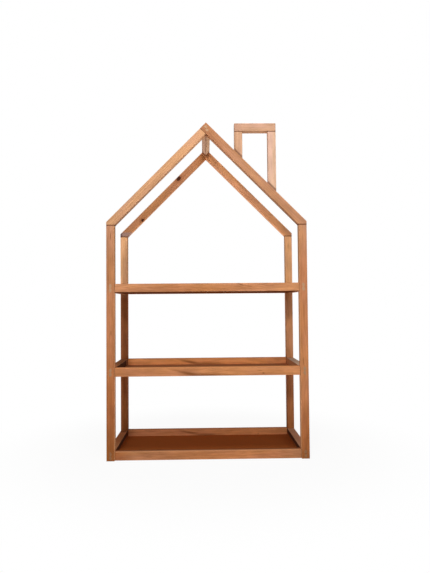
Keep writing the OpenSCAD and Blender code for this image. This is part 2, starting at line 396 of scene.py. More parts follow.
def rubbed_arrises(f, half):
    """1 along the four long edges: where both y and z are within 2.2 mm of the faces, fully at 0.4 mm."""
    return (f.step(abs(f.y), half[0] - RUB_START, half[0] - RUB_END)
            * f.step(abs(f.z), half[1] - RUB_START, half[1] - RUB_END))


def planed_shade(f, turned, fibre, pores, rubbed):
    """A factor for brightness: 0.30 fibre + 0.50 cloud + 0.61 - 0.13 pores + 0.08 rubbed, with clouds of
    some 5 by 2 cm, times 0.74 where the face looks along the grain."""
    clouds = f.noise(f.grain, CLOUDS, 1.0)
    shade = fibre * FIBRE_SHADE + clouds * CLOUD_SHADE + PLAIN_SHADE
    shade = shade - pores * PORE_SHADE + rubbed * RUB_SHADE
    along = Euler(turned).to_matrix() @ Vector((1, 0, 0))
    ends = abs(f.vector("DOT_PRODUCT", f.normal, tuple(along)).out("Value"))
    return shade * f.step(ends, *END_EDGE, 1.0, END_GRAIN)


print("arrises are rubbed for", round(RUB_START / MM, 1), "mm")

# %% [markdown]
# ## Marks on single sticks
#
# Some marks belong to one place, and noise alone would never put them there. They could be painted, but a
# small solid shape inside the wood crosses an arris as the real mark does. A knot is a round dark heart
# with a brown halo. A flame is the long brown wedge that a rail shows where a branch once left the tree: a
# ball squeezed flat and leaned along the grain, with a ragged edge.

# %% Knots and flames
HALF_STICK = 12 * MM
KNOT_HEART = srgb(80, 42, 27)
KNOT_HALO = srgb(140, 78, 44)
KNOT_EDGE = (260.0, 260.0, 260.0)
KNOT_SQUEEZE = (0.75, 1.0, 1.0)
HEART_START, HEART_END, HALO_END = 0.75, 1.1, 3.0
HALO_SHARE = 0.45
FLAME_BROWN = srgb(138, 84, 46)
FLAME_EDGE = (22.0, 260.0, 260.0)
FLAME_DEEP = 11 * MM
FLAME_FADE = (0.1, 1.15)
RAGGED = 0.9


def add_knots(f, colour, knots):
    """A knot's heart reaches to about its radius, and its halo fades away by three times the radius. Noise
    makes both ragged, and both are a third longer along the grain."""
    for centre, radius, share in knots:
        squeezed = f.vector("MULTIPLY", f.vector("SUBTRACT", f.local, centre), KNOT_SQUEEZE)
        off = f.vector("LENGTH", squeezed).out("Value")
        ragged = off + (f.noise(f.grain, KNOT_EDGE, 2.0) - 0.5) * radius * RAGGED
        halo = f.step(ragged, radius, radius * HALO_END, share * HALO_SHARE, 0.0)
        heart = f.step(ragged, radius * HEART_START, radius * HEART_END, share, 0.0)
        colour = f.mix(heart, f.mix(halo, colour, KNOT_HALO), KNOT_HEART)
    return colour


def add_flames(f, colour, flames):
    """A flame is where the vector of (x - cx) / half_long, (y - front) / 11 mm and
    (z - cz - slope (x - cx)) / half_high is shorter than about 1, with noise on its length."""
    for cx, cz, half_long, half_high, slope, share in flames:
        leaned = f.z - (f.x - cx) * slope - cz
        shares = [(f.x - cx) / half_long, (f.y + HALF_STICK) / FLAME_DEEP, leaned / half_high]
        reach = f.vector("LENGTH", f.node("ShaderNodeCombineXYZ", None, shares)).out("Value")
        ragged = reach + (f.noise(f.grain, FLAME_EDGE, 2.0) - 0.5) * RAGGED
        colour = f.mix(f.step(ragged, *FLAME_FADE, share, 0.0), colour, FLAME_BROWN)
    return colour


print("knots and flames are ready")

# %% [markdown]
# ## Joint lines, painted bands and painted faces
#
# A seam is a band along a plane: the thin dark line of a joint, where oil and dust gather, or a rubbed
# patch. It could be a groove in the solid, but the real joint is tight and only its colour shows. The same
# bands also carry painted shade and painted light near some corners and edges. A painted face is one whose
# outward direction gets another tone: painted shade on faces that lie in shade, such as inner faces beside
# a board and undersides, and painted light on faces that light falls on, such as some tops.

# %% Seams, painted bands and painted faces
SEAM_CORE = 0.4
PAINTED_FACE_EDGE = (0.2, 0.6)


def add_seams_and_painted_bands(f, colour, seams_and_painted_bands):
    """A seam lies along a plane of the case's frame: (normal, distance, half its width, share, tone). It is
    even over its core and fades away at its edges. Besides joint lines, some seams are bands of painted
    shade and painted light."""
    for plane, depth, width, share, tone in seams_and_painted_bands:
        off = abs(f.vector("DOT_PRODUCT", f.world, plane).out("Value") - depth)
        colour = f.mix(f.step(off, width * SEAM_CORE, width, share, 0.0), colour, TONES[tone])
    return colour


def add_painted_faces(f, colour, painted_faces):
    """A painted face is one whose outward direction lies along the given one: (direction, tone, share). Its
    tone is painted shade or painted light.
    """
    for towards, tone, share in painted_faces:
        faces = f.vector("DOT_PRODUCT", f.normal, towards).out("Value")
        colour = f.mix(f.step(faces, *PAINTED_FACE_EDGE, 0.0, share), colour, TONES[tone])
    return colour


print("seams and stains are ready")

# %% [markdown]
# ## The timber of one stick
#
# One function puts the parts together, so that all sticks are the same kind of wood and differ only in
# what their rows of the tables say. The wood is dull: a high roughness that follows the fibres, almost no
# gloss, and a shallow bump for fibres, rings and pores.

# %% Timber
HALF_RAIL = 12.5 * MM
GRAIN_DEPTH, GRAIN_STRENGTH = 0.25 * MM, 0.35
FIBRE_RISE, RING_RISE, PORE_DROP = 0.5, 0.25, 0.3
ROUGH, FIBRE_ROUGH, RUB_SMOOTH = 0.68, 0.16, 0.10
FAINT_GLOSS = 0.02


def timber(name, place, turned, tones, length=1.0, pith=(0.05, 0.03), wave=3.0, bold=1.0, shift=0.0,
           half=(HALF_STICK, HALF_STICK), knots=(), flames=(), seams_and_painted_bands=(), painted_faces=()):
    """Planed timber for one stick. place and turned are its middle and its turn, pith is where the tree's
    middle lies beside it, and half is half its section across y and z. The marks lie over the grain in the
    order flames, painted faces of painted shade and light, knots, then seams and painted bands."""
    f = Finish(bpy.data.materials.new(name))
    lay_grain(f, place, turned, shift)
    rings = year_rings(f, pith, wave, knots)
    fibre = f.noise(f.grain, FIBRES, 2.0, 0.6)
    pores = f.step(f.noise(f.grain, PORES, 0.0), *PORE_EDGE)
    rubbed = rubbed_arrises(f, half)
    colour = grain_colour(f, tone_along(f, tones, length), rings, bold)
    colour = f.shaded(colour, planed_shade(f, turned, fibre, pores, rubbed))
    colour = add_painted_faces(f, add_flames(f, colour, flames), painted_faces)
    colour = add_seams_and_painted_bands(f, add_knots(f, colour, knots), seams_and_painted_bands)
    height = fibre * FIBRE_RISE + rings * RING_RISE - pores * PORE_DROP
    return f.principled({
        "Base Color": colour,
        "Roughness": ROUGH + fibre * FIBRE_ROUGH - rubbed * RUB_SMOOTH,
        "Normal": f.bump(height, GRAIN_STRENGTH, GRAIN_DEPTH),
        "Specular IOR Level": FAINT_GLOSS,
    })


print("timber() makes one stick's wood")

# %% [markdown]
# ## Dressing the sticks
#
# A stick's frame is its middle, and a turn that lays x along its grain. Directions and turns are named
# once, and small helpers bring the marks into the form that `timber` takes. A knot or a flame is placed in
# the stick's own frame, in millimetres. A seam is placed in the frame of the whole case, because a joint
# crosses two sticks and its line has to meet on both.

# %% Directions and turns
UP, DOWN = (0.0, 0.0, 1.0), (0.0, 0.0, -1.0)
LEFTWARD, RIGHTWARD = (-1.0, 0.0, 0.0), (1.0, 0.0, 0.0)
FORWARD, BACKWARD = (0.0, -1.0, 0.0), (0.0, 1.0, 0.0)
SLOPE = math.sqrt(0.5)
UP_RIGHT = (SLOPE, 0.0, SLOPE)

UPRIGHT = (0.0, -math.pi / 2, 0.0)
ACROSS = (0.0, 0.0, 0.0)
FRONT_TO_BACK = (0.0, 0.0, math.pi / 2)
RIGHT_SLOPE = (0.0, math.pi / 4, 0.0)
LEFT_SLOPE = (0.0, -math.pi / 4, 0.0)
ON_ITS_CORNER = (math.pi / 4, 0.0, math.pi / 2)
print("a rafter is turned by", round(math.degrees(RIGHT_SLOPE[1])), "degrees")


# %% Helpers for dressing
def middle(node):
    low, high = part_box(node)
    return (low + high) / 2


def dress(node, finish):
    """Puts one material in all the slots of a node's object."""
    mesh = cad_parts[node].data
    mesh.materials.clear()
    mesh.materials.append(finish)


def front_knot(x, z, radius, share=1.0):
    """A knot on the front face of a stick."""
    return (x * MM, -HALF_STICK, z * MM), radius * MM, share


def front_flame(x, z, half_long, half_high, slope=0.0, share=0.75):
    """A flame on the front face of a stick."""
    return x * MM, z * MM, half_long * MM, half_high * MM, slope, share


def seam(normal, distance, half_wide, share=0.85, tone="seam"):
    """A band along a plane, with its distance in metres and half its width in millimetres."""
    return normal, distance, half_wide * MM, share, tone


ridge = cad_high.z
post_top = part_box("front_left_post")[1].z
POST_TOP_SEAM = seam(UP, post_top, 2.4)
print("ridge", round(ridge, 4), "post top", round(post_top, 4))

# %% [markdown]
# ## The four posts
#
# The posts stand on their own ends and carry the rest. They are darker at the foot than at the top, in
# part painted shade, and the back posts are painted darker below the top shelf, painted shade. The front
# ones show short brown streaks beside the rails. One wood for all four would look like plastic, so each
# post has its own tones, pith and marks. The inner faces differ from the front: those of the front posts
# are painted paler, painted light, and those of the back posts darker, painted shade.

# %% Posts
POST_SHIFT_STEP = 1.7
# tones darken towards the feet, in part painted shade, and the back posts are paler above the top shelf
# with painted shade below it; the painted faces are painted light on the front posts' inner faces and
# painted shade on the back posts' inner faces
POSTS = {
    "front_left_post": {
        "tones": [(0.0, "umber"), (0.22, "chestnut"), (0.55, "copper"), (0.85, "russet"), (1.0, "tan")],
        "pith": (0.045, 0.05),
        "flames": [front_flame(316, -1, 14, 2.2), front_flame(28, -2, 10, 1.6)],
        "painted_faces": [(RIGHTWARD, "sand", 0.7)],
    },
    "front_right_post": {
        "tones": [(0.0, "umber"), (0.1, "chestnut"), (0.3, "copper"), (0.8, "copper"), (1.0, "tan")],
        "pith": (0.06, -0.03),
        "bold": 0.8,
        "flames": [front_flame(-60, 4, 16, 1.6)],
        "painted_faces": [(LEFTWARD, "sand", 0.7)],
    },
    "back_left_post": {
        "tones": [(0.0, "umber"), (0.3, "chestnut"), (0.69, "chestnut"), (0.75, "sand"), (1.0, "sand")],
        "pith": (-0.05, 0.04),
        "bold": 0.65,
        "painted_faces": [(RIGHTWARD, "walnut", 0.5)],
    },
    "back_right_post": {
        "tones": [(0.0, "umber"), (0.3, "copper"), (0.45, "wheat"), (0.7, "wheat"), (0.75, "straw"),
                  (1.0, "straw")],
        "pith": (0.04, -0.06),
        "flames": [front_flame(313, 1.6, 15, 2)],
        "painted_faces": [(LEFTWARD, "walnut", 0.5)],
    },
}
for number, (node, look) in enumerate(POSTS.items()):
    shift = POST_SHIFT_STEP * number
    dress(node, timber(node, middle(node), UPRIGHT, length=post_top, shift=shift, seams_and_painted_bands=[POST_TOP_SEAM],
                       **look))
print("dressed", len(POSTS), "posts")

# %% [markdown]
# ## The rafters
#
# On each gable the right rafter runs to the point and the left one butts against its underside. The back
# left rafter has two knots, and its foot is scraped and bruised. Under the point of the front gable, a dark
# spot in the notch between the rafters is painted shade, and the back rafters darken towards the point,
# painted shade under the ridge beam. The middle of a rafter's box would do for a stick that lies straight,
# but not for a sloping one with cut ends. So the rafter's frame is worked out from the ridge: a quarter of
# the case's width to the side, and half a stick in from the outer face.

# %% Rafters
RAFTER_SHIFT, RAFTER_SHIFT_STEP = 11, 2.3
BUTT_SEAM = seam(UP_RIGHT, ridge * SLOPE - 2 * HALF_STICK, 2.6)
FOOT_SCRAPE = seam(UP, post_top + 8 * MM, 11, 0.7, "scrape")
FOOT_BRUISE = seam(RIGHTWARD, cad_low.x, 8, 0.8, "bruise")
NOTCH_SHADE_RADIUS = 4.4 * MM
rafter_long = cad_high.x / SLOPE
quarter = cad_high.x / 2


def notch_shade(side):
    """Painted shade in the notch under the point of the gable, drawn as a knot at the upper end of the
    rafter's underside, in the middle of its width."""
    return (-side * (rafter_long / 2 - HALF_STICK), 0.0, -HALF_STICK), NOTCH_SHADE_RADIUS, 1.0


# the back rafters darken towards the point of the gable: painted shade under the ridge beam
RAFTERS = {
    "front_left_rafter": {
        "tones": [(0.0, "honey"), (1.0, "honey")],
        "pith": (0.05, 0.04),
        "knots": [notch_shade(-1)],
        "seams_and_painted_bands": [BUTT_SEAM, POST_TOP_SEAM],
    },
    "front_right_rafter": {
        "tones": [(0.0, "russet"), (0.3, "tan"), (1.0, "tan")],
        "pith": (-0.06, 0.03),
        "knots": [notch_shade(1)],
        "seams_and_painted_bands": [POST_TOP_SEAM],
    },
    "back_left_rafter": {
        "tones": [(0.0, "russet"), (0.85, "russet"), (1.0, "umber")],
        "pith": (0.04, -0.05),
        "knots": [front_knot(82, 5, 7.2), front_knot(-111, -8.6, 4.4)],
        "seams_and_painted_bands": [BUTT_SEAM, FOOT_SCRAPE, FOOT_BRUISE, POST_TOP_SEAM],
    },
    "back_right_rafter": {
        "tones": [(0.0, "copper"), (0.1, "wheat"), (1.0, "wheat")],
        "pith": (-0.05, -0.04),
        "seams_and_painted_bands": [POST_TOP_SEAM],
    },
}
for number, (node, look) in enumerate(RAFTERS.items()):
    side, turned = (-1, LEFT_SLOPE) if "left" in node else (1, RIGHT_SLOPE)
    place = Vector((side * quarter, middle(node).y, ridge - quarter - HALF_STICK / SLOPE))
    shift = RAFTER_SHIFT + RAFTER_SHIFT_STEP * number
    dress(node, timber(node, place, turned, length=rafter_long, shift=shift, **look))
print("dressed", len(RAFTERS), "rafters")

# %% [markdown]
# ## The ridge beam
#
# A thinner square stick joins the two gables. It is turned on its corner, so that its upper faces lie in
# the slopes of the roof. The arrises between them are dark. Its ends, where it meets the gables, are
# darkened too: painted shade, 3 cm deep at the back and with the joint line at the front. These marks are
# seams as well: one along the middle plane of the case and two across it.

# %% Ridge beam
RIDGE_SHIFT = 21.0
HALF_RIDGE = 9.5 * MM
low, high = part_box("ridge_beam")
# painted shade at both ends of the beam, where the gables shade it; at the front it is also the joint line
ridge_lines_and_shade = [seam(RIGHTWARD, 0.0, 2.4, 0.7), seam(BACKWARD, high.y, 30, 0.6, "umber"),
               seam(BACKWARD, low.y, 8)]
ridge_wood = timber("ridge_beam", (low + high) / 2, ON_ITS_CORNER, [(0.0, "biscuit")], pith=(0.04, 0.05),
                    shift=RIDGE_SHIFT, half=(HALF_RIDGE, HALF_RIDGE), seams_and_painted_bands=ridge_lines_and_shade)
dress("ridge_beam", ridge_wood)
print("dressed a ridge beam of", round(high.y - low.y, 3), "m")

# %% [markdown]
# ## The shelf rails
#
# Four rails make a tray, and the three trays differ in tone: the bottom one is darkest, the middle one has
# the large brown flames, and the top one has a lively grain. A rail's faces differ as well, with light and
# shade painted on them: painted shade on inner faces, undersides and along the boards, and painted light on
# some tops. Each of these could be a material of its own. Here short tables name the rails that have a
# mark, and the others go without.

# %% Tones and figure of the rails
RAIL_TONES = {
    "bottom": [(0.0, "chestnut"), (0.1, "russet"), (0.5, "copper"), (0.85, "copper"), (1.0, "russet")],
    "middle": [(0.0, "copper"), (1.0, "amber")],
    "top": [(0.0, "wheat"), (0.4, "amber"), (1.0, "wheat")],
}
BACK_TONES = {
    "bottom": [(0.0, "copper"), (1.0, "amber")],
    "middle": [(0.0, "apricot")],
    "top": [(0.0, "amber"), (1.0, "amber")],
}
FIGURE = {
    "bottom": {"pith": (0.05, 0.03), "wave": 4.0},
    "middle": {"pith": (0.06, 0.02), "wave": 4.0},
    "top": {"pith": (0.03, 0.05), "wave": 14.0, "bold": 2.3},
}
print("shelves:", ", ".join(RAIL_TONES))

# %% Knots and flames of the rails
FLAMES = {
    "middle_front_rail": [front_flame(-60, -4, 50, 6.6, -0.24, 0.8), front_flame(2, -10, 76, 8.0),
                          front_flame(155, 1.7, 9, 1.6, 0.0, 0.5)],
    "middle_back_rail": [front_flame(-58, 0, 50, 6.0, -0.20), front_flame(2, -6, 72, 8.0, 0.0, 0.7)],
    "bottom_back_rail": [front_flame(-64, 3, 50, 5.4, -0.17), front_flame(0, -6, 62, 8.0, -0.05)],
    "top_front_rail": [front_flame(98, 9.0, 12, 2.4, -0.33, 0.8), front_flame(120, 3, 30, 2.4, -0.2, 0.4)],
}
KNOTS = {
    "middle_front_rail": [front_knot(165, -6, 1.6, 0.5)],
    "bottom_back_rail": [front_knot(174, -4.4, 1.2, 0.4)],
}
print("flames on", ", ".join(FLAMES))

# %% Painted bands and painted faces of the rails
INNER_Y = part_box("bottom_front_rail")[1].y
# a slanting plane through the edge where a rail meets the board colours that corner and no whole face:
# painted light in the board's tone over the lower edge of the painted shade on the inner face
board_edge = (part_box("bottom_right_rail")[0].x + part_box("bottom_panel")[1].z) * SLOPE
# painted shade in walnut along the bottom front rail's inner edge and in the back left corner; over the
# back ends of the middle side rails, bands of one plain tone cover their painted faces
PAINTED_BANDS = {
    "bottom_front_rail": [seam(BACKWARD, INNER_Y, 19, 0.9, "walnut")],
    "bottom_left_rail": [seam(BACKWARD, -INNER_Y, 40, 0.6, "walnut"),
                         seam((SLOPE, 0.0, -SLOPE), -board_edge, 6, 0.8, "board")],
    "bottom_right_rail": [seam((-SLOPE, 0.0, -SLOPE), -board_edge, 6, 0.8, "board")],
    "middle_left_rail": [seam(BACKWARD, -INNER_Y, 44, 0.85, "russet")],
    "middle_right_rail": [seam(BACKWARD, -INNER_Y, 44, 0.6, "wheat")],
}
# painted shade on inner faces and undersides, deep_shade for inner faces beside a board and umber on the
# middle left top; painted light on the tops of the front rails, of the bottom right and middle right rails,
# and on the middle right inner face
PAINTED_FACES = {
    "bottom_front_rail": [(UP, "straw", 0.5)],
    "middle_front_rail": [(UP, "apricot", 0.75)],
    "bottom_left_rail": [(RIGHTWARD, "deep_shade", 0.9)],
    "bottom_right_rail": [(LEFTWARD, "deep_shade", 0.85), (UP, "rose", 0.4)],
    "middle_left_rail": [(RIGHTWARD, "deep_shade", 0.85), (UP, "umber", 0.6)],
    "middle_right_rail": [(LEFTWARD, "sand", 0.5), (UP, "bone", 0.95)],
    "top_front_rail": [(DOWN, "walnut", 0.8)],
    "top_left_rail": [(DOWN, "walnut", 0.7)],
    "top_right_rail": [(DOWN, "walnut", 0.4)],
}
print("bands on", len(PAINTED_BANDS), "rails and stained faces on", len(PAINTED_FACES))

# %% Shelf rails
RAIL_SHIFT, RAIL_SHIFT_STEP = 31, 1.9
END_LINE = 2.0
number = 0
for shelf, tones in RAIL_TONES.items():
    for side in ("front", "back", "left", "right"):
        node = f"{shelf}_{side}_rail"
        low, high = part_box(node)
        lies_across = side in ("front", "back")
        axis, reach = (RIGHTWARD, high.x) if lies_across else (BACKWARD, high.y)
        turned = ACROSS if lies_across else FRONT_TO_BACK
        own_tones = BACK_TONES[shelf] if side == "back" else tones
        seams_and_painted_bands = [*PAINTED_BANDS.get(node, ()), seam(axis, reach, END_LINE), seam(axis, -reach, END_LINE)]
        number += 1
        dress(node, timber(node, (low + high) / 2, turned, own_tones, 2 * reach,
                           shift=RAIL_SHIFT + RAIL_SHIFT_STEP * number, half=(HALF_STICK, HALF_RAIL),
                           knots=KNOTS.get(node, ()), flames=FLAMES.get(node, ()), seams_and_painted_bands=seams_and_painted_bands,
                           painted_faces=PAINTED_FACES.get(node, ()), **FIGURE[shelf]))
print("dressed", number, "rails")

# %% [markdown]
# ## The chimney
#
# Two legs cut to the slope of the roof carry a cap that lies across them. The wood is paler and pinker
# than most of the case. Dark lines mark the joints: one along the slope of the rafter, and one under the
# cap, which is also painted shade on the tops of the legs. The cap's underside is painted darker, painted
# shade. They are seams and a painted face as on the posts, so the chimney needs nothing new, only its own
# tones.

# %% Chimney
LEG_SHIFT, LEG_SHIFT_STEP, CAP_SHIFT = 61, 3, 67.0
SLOPE_SEAM = seam(UP_RIGHT, ridge * SLOPE, 7.0, 0.65)
# the joint line under the cap, and painted shade on the tops of the legs
CAP_LINE_AND_SHADE = seam(UP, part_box("chimney_cap")[0].z, 3.0)
CHIMNEY = {"chimney_left_leg": ("blush", 1.0), "chimney_right_leg": ("rose", 0.35)}
for number, (node, (tone, bold)) in enumerate(CHIMNEY.items()):
    dress(node, timber(node, middle(node), UPRIGHT, [(0.0, tone)], pith=(0.05, 0.04), bold=bold,
                       shift=LEG_SHIFT + LEG_SHIFT_STEP * number, seams_and_painted_bands=[SLOPE_SEAM, CAP_LINE_AND_SHADE]))
# the cap's underside is painted darker in umber: painted shade
cap_wood = timber("chimney_cap", middle("chimney_cap"), ACROSS, [(0.0, "blush")], pith=(0.04, -0.05),
                  shift=CAP_SHIFT, painted_faces=[(DOWN, "umber", 0.3)])
dress("chimney_cap", cap_wood)
print("dressed the chimney")

# %% [markdown]
# ## The shelf boards
#
# The shelf boards are thin, stained dark red brown and nearly matt, so they get fine fibres and faint
# clouds and no rings. The middle one is painted paler along its back edge, painted light. It could have a
# second material there, but the change is soft, so its tone runs from front to back.

# %% Boards
BOARD_CLOUDS = (7.0, 11.0, 7.0)
BOARD_FIBRES = (60.0, 900.0, 900.0)
BACK_LIGHT_START, BACK_LIGHT_END = -40 * MM, 55 * MM
BOARD_PLAIN, BOARD_FIBRE, BOARD_CLOUD = 0.87, 0.16, 0.10
BOARD_ROUGH, CLOUD_ROUGH = 0.75, 0.2
FIBRE_DEPTH, FIBRE_STRENGTH = 0.1 * MM, 0.25


def stained_board(node, tone, painted_back_light):
    """A stained board: a tone that runs to the second tone, painted light on the middle board, from 4 cm in
    front of the middle of the case to 5.5 cm behind it, times 0.16 fibre + 0.10 cloud + 0.87. Clouds are
    some 10 cm wide, and the fibres run along x."""
    f = Finish(bpy.data.materials.new(node))
    world = f.node("ShaderNodeTexCoord").out("Object")
    clouds = f.noise(world, BOARD_CLOUDS, 3.0)
    fibres = f.noise(world, BOARD_FIBRES, 2.0, 0.6)
    backward = f.node("ShaderNodeSeparateXYZ", None, [world]).out("Y")
    tone = f.mix(f.step(backward, BACK_LIGHT_START, BACK_LIGHT_END), TONES[tone], TONES[painted_back_light])
    return f.principled({
        "Base Color": f.shaded(tone, fibres * BOARD_FIBRE + clouds * BOARD_CLOUD + BOARD_PLAIN),
        "Roughness": BOARD_ROUGH + clouds * CLOUD_ROUGH,
        "Normal": f.bump(fibres, FIBRE_STRENGTH, FIBRE_DEPTH),
        "Specular IOR Level": 0.0,
    })


BOARDS = {
    "bottom_panel": ("board", "board"),
    "middle_panel": ("board", "copper"),
    "top_panel": ("cocoa", "cocoa"),
}
for node, (tone, painted_back_light) in BOARDS.items():
    dress(node, stained_board(node, tone, painted_back_light))
print("dressed", len(BOARDS), "boards")

# %% [markdown]
# ## Filler and screws
#
# The filler over the screw heads is pale and chalky, and painted darker and browner near the floor, painted
# shade. One colour would do for so small a mark, but close up it would look like plastic, so the filler has
# blotches and grit. The screws and pins are zinc plated and hidden in the wood, but they show when the case
# is taken apart, so they get a real metal: full metallic, with a fine brushed pattern in its colour and its
# gloss.

# %% Filler
FILLER_PALE = srgb(198, 158, 122)
FILLER_WARM = srgb(212, 160, 120)
FILLER_GRIT = srgb(170, 144, 116)
FILLER_SHADE = srgb(146, 98, 62)
GRITS = (900.0, 900.0, 900.0)
BLOTCHES = (120.0, 120.0, 120.0)
GRIT_SHARE = 0.4
GRIT_DEPTH, GRIT_STRENGTH = 0.1 * MM, 0.4
SHADE_LOW, SHADE_HIGH, SHADE_SHARE = 0.05, 0.40, 0.8


def filler():
    """Blotches of 8 mm between two pale tones, up to 40 % grit over them, and painted shade that fades away
    from 5 to 40 cm above the floor."""
    f = Finish(bpy.data.materials.new("wood_filler"))
    world = f.node("ShaderNodeTexCoord").out("Object")
    grit = f.noise(world, GRITS, 2.0, 0.6)
    blotch = f.noise(world, BLOTCHES, 1.0)
    colour = f.mix(blotch, FILLER_PALE, FILLER_WARM)
    colour = f.mix(grit * GRIT_SHARE, colour, FILLER_GRIT)
    height = f.node("ShaderNodeSeparateXYZ", None, [world]).out("Z")
    colour = f.mix(f.step(height, SHADE_LOW, SHADE_HIGH, SHADE_SHARE, 0.0), colour, FILLER_SHADE)
    return f.principled({
        "Base Color": colour,
        "Roughness": 0.8,
        "Normal": f.bump(grit, GRIT_STRENGTH, GRIT_DEPTH),
        "Specular IOR Level": 0.1,
    })


filler_finish = filler()
plugs = [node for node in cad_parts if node.endswith("_plugs")]
for node in plugs:
    dress(node, filler_finish)
print("dressed", len(plugs), "groups of plugs")

# %% Zinc plate
ZINC_DULL = srgb(196, 196, 192)
ZINC_BRIGHT = srgb(222, 220, 212)
BRUSHED = (1500.0, 1500.0, 1500.0)
ZINC_ROUGH, BRUSHED_ROUGH = 0.28, 0.14


def zinc():
    """Zinc plate: noise of 1500 features a metre moves its colour and its roughness, 0.28 to 0.42."""
    f = Finish(bpy.data.materials.new("zinc_steel"))
    world = f.node("ShaderNodeTexCoord").out("Object")
    brushed = f.noise(world, BRUSHED, 2.0)
    return f.principled({
        "Base Color": f.mix(brushed, ZINC_DULL, ZINC_BRIGHT),
        "Metallic": 1.0,
        "Roughness": ZINC_ROUGH + brushed * BRUSHED_ROUGH,
    })


zinc_finish = zinc()
metal = [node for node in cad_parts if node.endswith(("_screws", "_pins"))]
for node in metal:
    dress(node, zinc_finish)
print("dressed", len(metal), "groups of screws and pins")

# %% [markdown]
# ## Smears of filler
#
# Whoever filled the screw heads drew the knife over them, and the filler left a thin upright smear round
# each head. A smear could be a painted mark in the wood's material, but it has a thickness, so it is a
# mesh here: a ball flattened to a fifth of a millimetre, with a wavy outline, half sunk in the wood. All
# its points come from one formula on a grid of two angles, and all the smears of one face of the case are
# one mesh.

# %% The shape of one smear
ROUND, RISE = 28, 8
SMEAR_POINTS = ROUND * (RISE - 1) + 2
SMEAR_PROUD = 0.2 * MM
WAVES = ((0.14, 2), (0.10, 3), (0.06, 5))


def smear_points(centre, outward, half_high, half_wide, seed):
    """A flattened ball: with t from pole to pole and a round, the point is (sin t cos a W half_wide,
    sin t sin a W half_high, cos t proud), with the outline W = 1 + 0.14 sin(2a + p) + 0.10 sin(3a + q)
    + 0.06 sin(5a + r)."""
    phases = np.random.default_rng(seed).uniform(0, 2 * np.pi, len(WAVES))
    turns = np.linspace(0, 2 * np.pi, ROUND, endpoint=False)
    falls = np.linspace(0, np.pi, RISE + 1)[1:-1]
    outline = 1 + sum(size * np.sin(times * turns + phase) for (size, times), phase in zip(WAVES, phases))
    t, a = np.meshgrid(falls, turns, indexing="ij")
    wide = np.sin(t) * np.cos(a) * outline * half_wide
    high = np.sin(t) * np.sin(a) * outline * half_high
    rings = np.stack([wide, high, np.cos(t) * SMEAR_PROUD], -1).reshape(-1, 3)
    ball = np.vstack([[0, 0, SMEAR_PROUD], rings, [0, 0, -SMEAR_PROUD]])
    up, outward = np.array(UP), np.array(outward)
    return np.array(centre) + ball @ np.stack([np.cross(up, outward), up, outward])


def smear_faces(first):
    """A fan of triangles at each pole and quads between the rings, for a ball whose points are numbered
    from first."""
    i = np.arange(ROUND)
    j = (i + 1) % ROUND
    above = 1 + ROUND * np.arange(RISE - 2)[:, None]
    pole = SMEAR_POINTS - 1
    top = np.stack([0 * i, 1 + i, 1 + j], -1)
    quads = np.stack([above + i, above + ROUND + i, above + ROUND + j, above + j], -1).reshape(-1, 4)
    bottom = np.stack([0 * i + pole, pole - ROUND + j, pole - ROUND + i], -1)
    return [*(top + first).tolist(), *(quads + first).tolist(), *(bottom + first).tolist()]


print("one smear has", SMEAR_POINTS, "points")

# %% A mesh of smears
SMEAR_HIGH, SMEAR_WIDE = 6.6 * MM, 3.3 * MM
SEED_STEP = 100


def smears(name, centres, outward, half_high=SMEAR_HIGH, half_wide=SMEAR_WIDE):
    """One mesh of smears that face outward, finished in filler, riding with the case."""
    points, faces = [], []
    for number, centre in enumerate(centres):
        seed = len(name) * SEED_STEP + number
        points.append(smear_points(centre, outward, half_high, half_wide, seed))
        faces += smear_faces(number * SMEAR_POINTS)
    mesh = bpy.data.meshes.new(name)
    mesh.from_pydata(np.vstack(points).tolist(), [], faces)
    mesh.materials.append(filler_finish)
    mesh.shade_smooth()
    piece = bpy.data.objects.new(name, mesh)
    bpy.context.scene.collection.objects.link(piece)
    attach(piece, "root")
    print(name, "has", len(centres), "smears and", len(mesh.polygons), "faces")


print("a smear is", round(2 * SMEAR_HIGH / MM, 1), "mm high")

# %% [markdown]
# ## Where the smears lie
#
# On the front and the back, each joint of a side rail has two screws, one above the other, and the two
# smears just overlap, each a little off to one side. The slips are drawn from a seeded generator, so they
# are the same each time. The outer sides have one rounder smear a joint, and the points of the gables have
# their own.

# %% Smears on the front and the back
HALF_SCREW_GAP, SLIP, SLIP_SEED = 6 * MM, 0.9 * MM, 24
post_x = middle("front_right_post").x
joint_heights = [middle(f"{shelf}_front_rail").z for shelf in ("bottom", "middle", "top")]
front_heads = [(side * post_x, cad_low.y, z + up) for side in (-1, 1) for z in joint_heights
               for up in (-HALF_SCREW_GAP, HALF_SCREW_GAP)]
slips = np.random.default_rng(SLIP_SEED).uniform(-SLIP, SLIP, len(front_heads))
front_spots = [(x + slip, y, z) for (x, y, z), slip in zip(front_heads, slips)]
smears("front_smears", front_spots, FORWARD)
smears("back_smears", [(x, cad_high.y, z) for x, _, z in front_spots], BACKWARD)

# %% Smears on the outer sides
SIDE_HIGH, SIDE_WIDE = 5 * MM, 4 * MM
post_y = middle("back_right_post").y
side_spots = [(cad_high.x, side * post_y, z) for side in (-1, 1) for z in joint_heights]
smears("right_smears", side_spots, RIGHTWARD, SIDE_HIGH, SIDE_WIDE)
smears("left_smears", [(cad_low.x, y, z) for _, y, z in side_spots], LEFTWARD, SIDE_HIGH, SIDE_WIDE)

